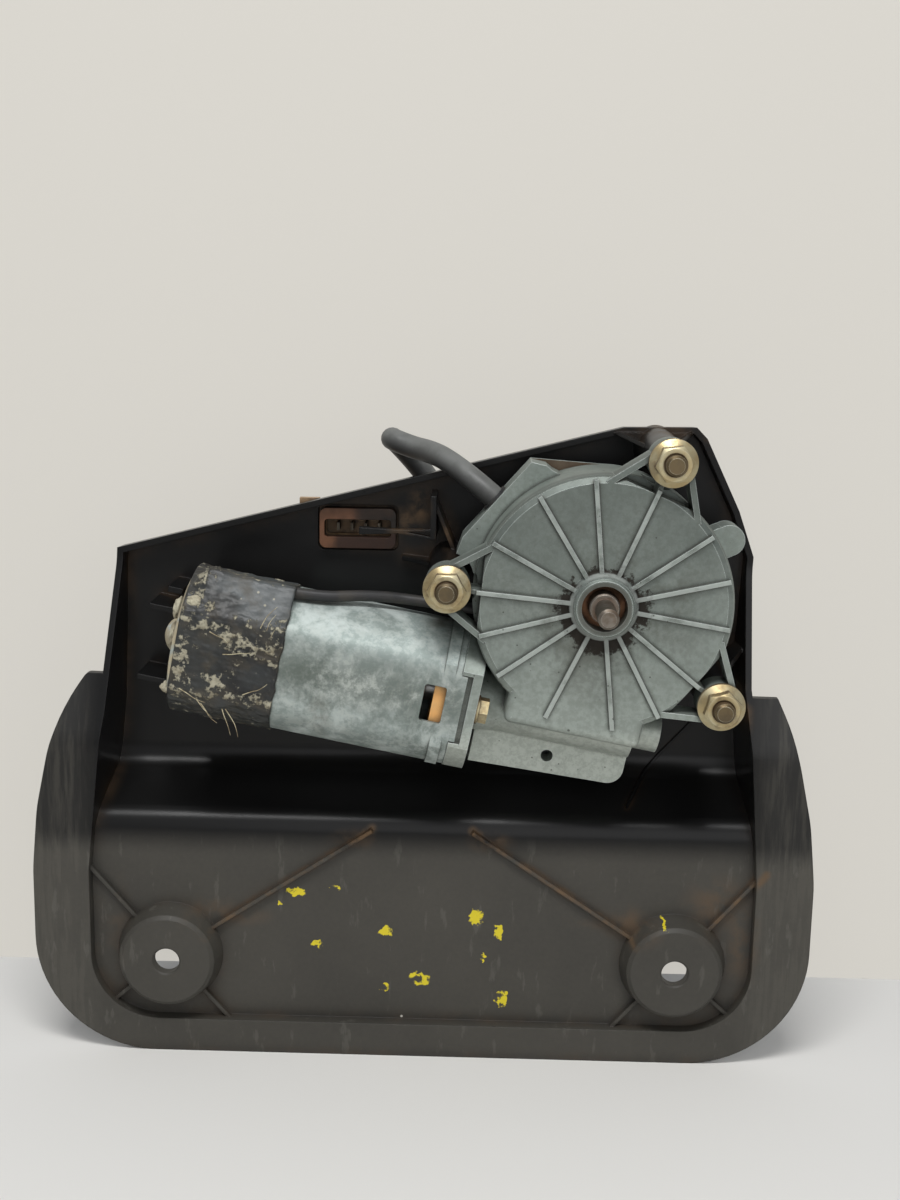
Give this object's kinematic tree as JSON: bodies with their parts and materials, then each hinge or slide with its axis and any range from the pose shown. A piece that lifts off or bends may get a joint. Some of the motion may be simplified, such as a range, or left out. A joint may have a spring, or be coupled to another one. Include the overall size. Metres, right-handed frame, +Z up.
{
  "type": "wiper motor",
  "caption": "Rear window wiper gearmotor on a deep moulded mounting bracket: cast worm gear housing, flatted motor can, taped leads, threaded output shaft and a panel connector.",
  "frame": {"origin": "on the output shaft's axis, in the plane of its shoulder and of the housing's boss ring", "axes": "-Y along the output shaft towards its thread, +X along the bracket, +Z up as it stands in the picture"},
  "size_m": [0.2478, 0.081, 0.2035],
  "materials": {
    "bracket_plastic": "moulded, semi-matt black",
    "cast_alloy": "die cast, dull grey-green with grime",
    "zinc_steel": "zinc plated, dulled and mottled",
    "gold_zinc": "yellow zinc plated",
    "shaft_steel": "ground steel, browned",
    "plain_steel": "plain ground steel",
    "lamination": "varnished laminations",
    "bronze": "sintered bronze",
    "copper": "enamelled copper",
    "contact_brass": "bright stamped contact metal",
    "white_nylon": "moulded, greased",
    "orange_plastic": "moulded, dull orange",
    "brown_plastic": "moulded, brown",
    "black_plastic": "moulded, black",
    "rubber_black": "soft, dull",
    "sleeve_black": "flexible tubing, slightly shiny",
    "tape_black": "old wrapped tape, muddy",
    "gasket_paper": "pressed fibre",
    "ferrite": "sintered, dark grey",
    "carbon": "pressed carbon, dull"
  },
  "bodies": {
    "frame": {"bracket": "bracket_plastic", "housing_bolts": "gold_zinc", "flange_nuts": "gold_zinc", "gear_housing": "cast_alloy", "cover_gasket": "gasket_paper", "housing_cover": "zinc_steel", "cover_screws": "zinc_steel", "shaft_bush": "bronze", "shaft_seal": "rubber_black", "thrust_washer": "plain_steel", "contact_plate": "black_plastic", "contact_fingers": "contact_brass", "motor_can": "zinc_steel", "can_screws": "gold_zinc", "field_magnets": "ferrite", "magnet_clips": "plain_steel", "thrust_ball": "plain_steel", "thrust_plug": "plain_steel", "rear_bearing": "bronze", "bearing_clip": "plain_steel", "front_bearing": "bronze", "brush_card": "orange_plastic", "brush_holders": "contact_brass", "brushes": "carbon", "brush_springs": "plain_steel", "motor_lead": "rubber_black", "tape_wrap": "tape_black", "harness_sleeve": "sleeve_black", "lead_grommet": "rubber_black", "connector_housing": "brown_plastic", "connector_terminals": "contact_brass"},
    "armature": {"armature_shaft": "plain_steel", "armature_core": "lamination", "armature_windings": "copper", "commutator_core": "black_plastic", "commutator_bars": "copper"},
    "output": {"output_shaft": "shaft_steel", "wheel_hub": "plain_steel", "worm_wheel": "white_nylon", "park_disc": "contact_brass"}
  },
  "joints": [
    {"name": "armature_spin", "type": "hinge", "parent": "frame", "child": "armature", "pos_m": [-0.00756, 0.025, -0.03928], "axis": [0.982, 0, -0.1891], "continuous": true},
    {"name": "output_spin", "type": "hinge", "parent": "frame", "child": "output", "pos_m": [0, 0, 0], "axis": [0, -1, 0], "continuous": true}
  ],
  "couplings": [
    {"joint": "output_spin", "follows": "armature_spin", "ratio": -0.016667}
  ]
}
